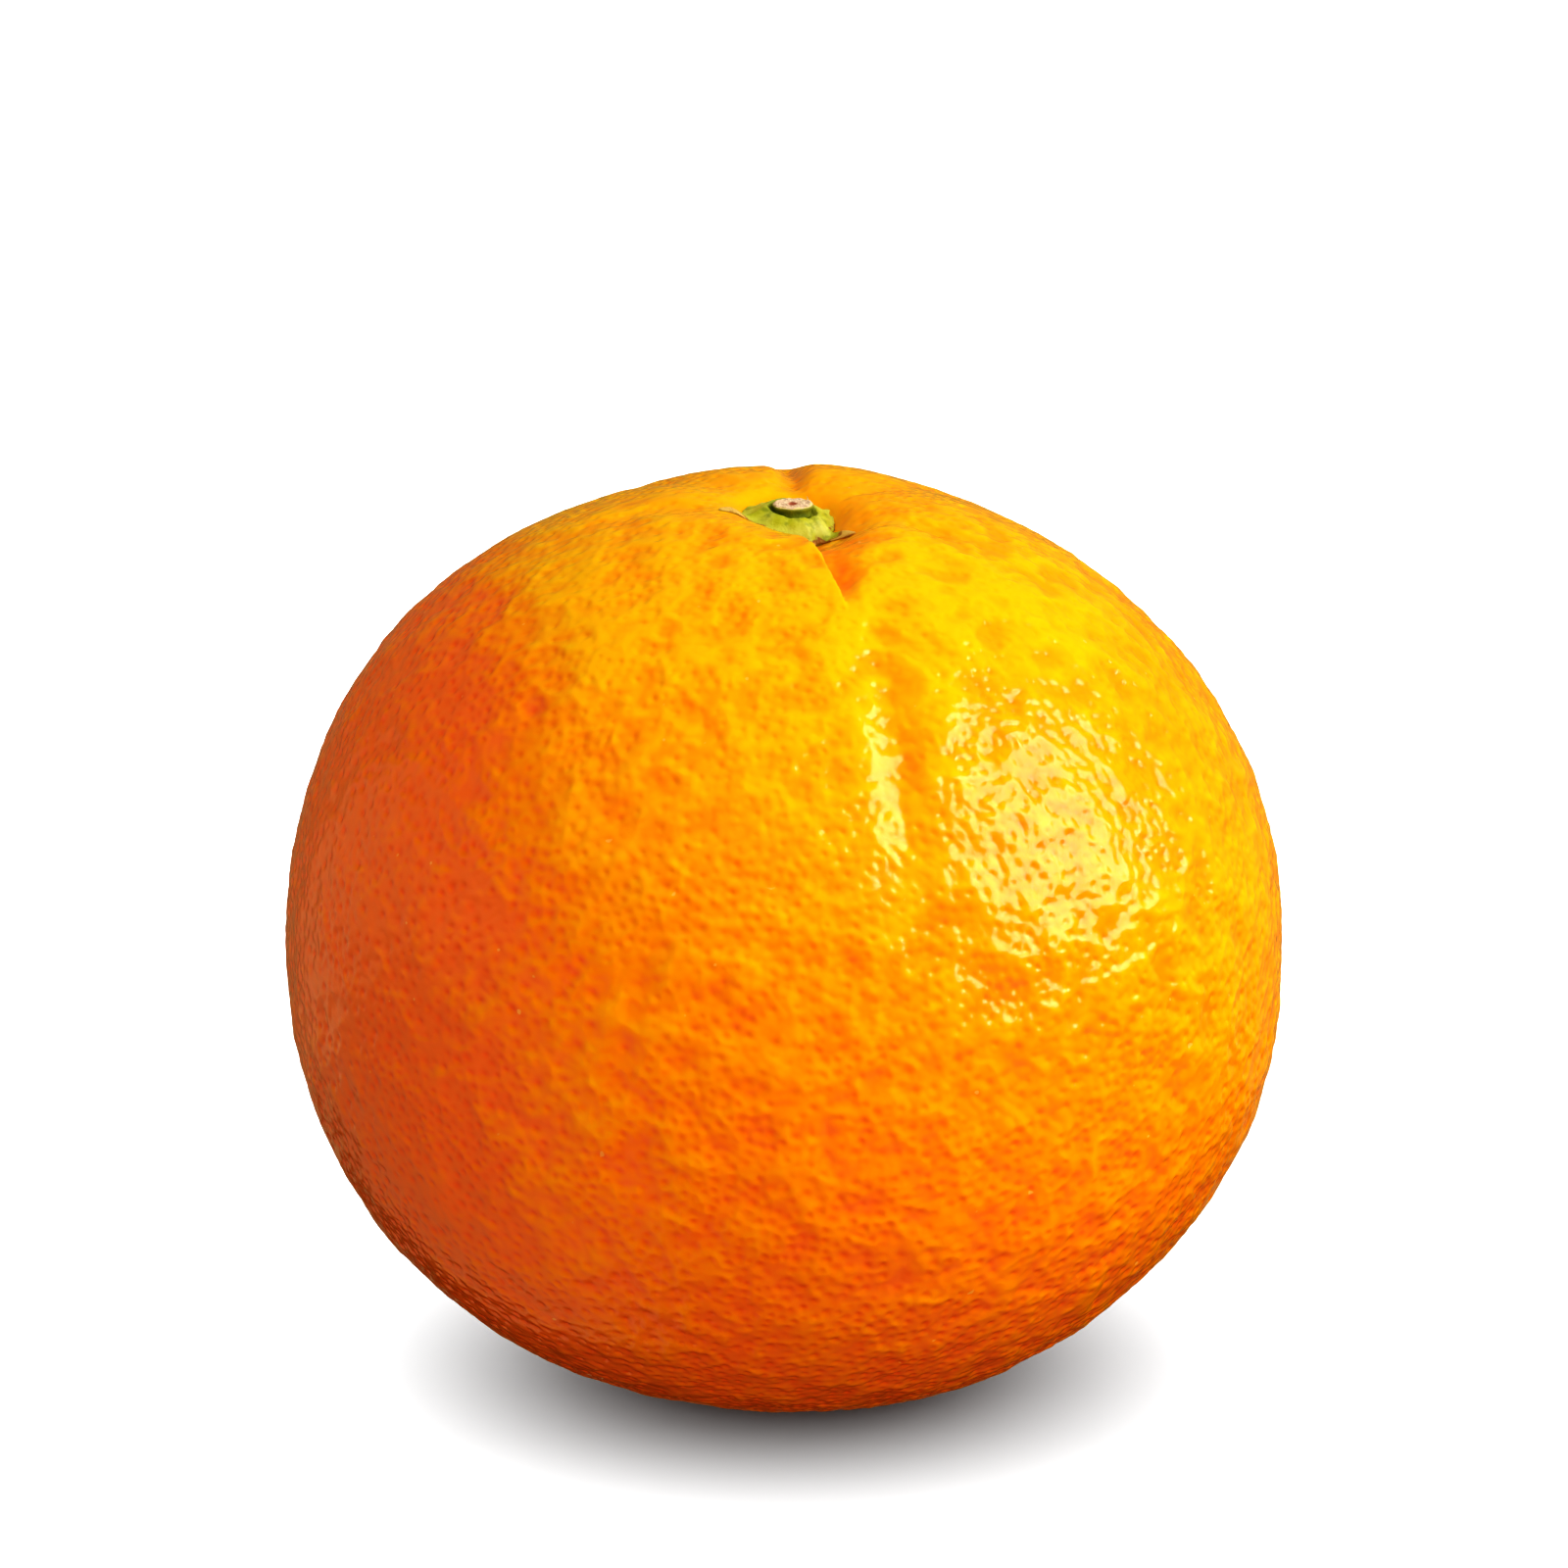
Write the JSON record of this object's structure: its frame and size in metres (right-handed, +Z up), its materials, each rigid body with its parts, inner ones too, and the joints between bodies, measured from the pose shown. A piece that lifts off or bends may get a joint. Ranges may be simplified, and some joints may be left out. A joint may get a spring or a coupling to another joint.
{
  "type": "orange",
  "caption": "Whole fresh orange with a dimpled stem end, green calyx button and cut stem stub, standing on its flat spot",
  "frame": {"origin": "centre of the flat spot that the orange rests on, on the surface it stands on", "axes": "+Z up along the fruit's axis to the stem end, -Y to the front with the deep fold beside the button, +X to the right"},
  "size_m": [0.08, 0.0804, 0.073],
  "materials": {
    "peel": "satin",
    "sepal_green": "matte",
    "cut_stem": "matte"
  },
  "bodies": {
    "root": {"fruit": "peel", "calyx": "sepal_green", "stem_stub": "cut_stem"}
  },
  "joints": []
}
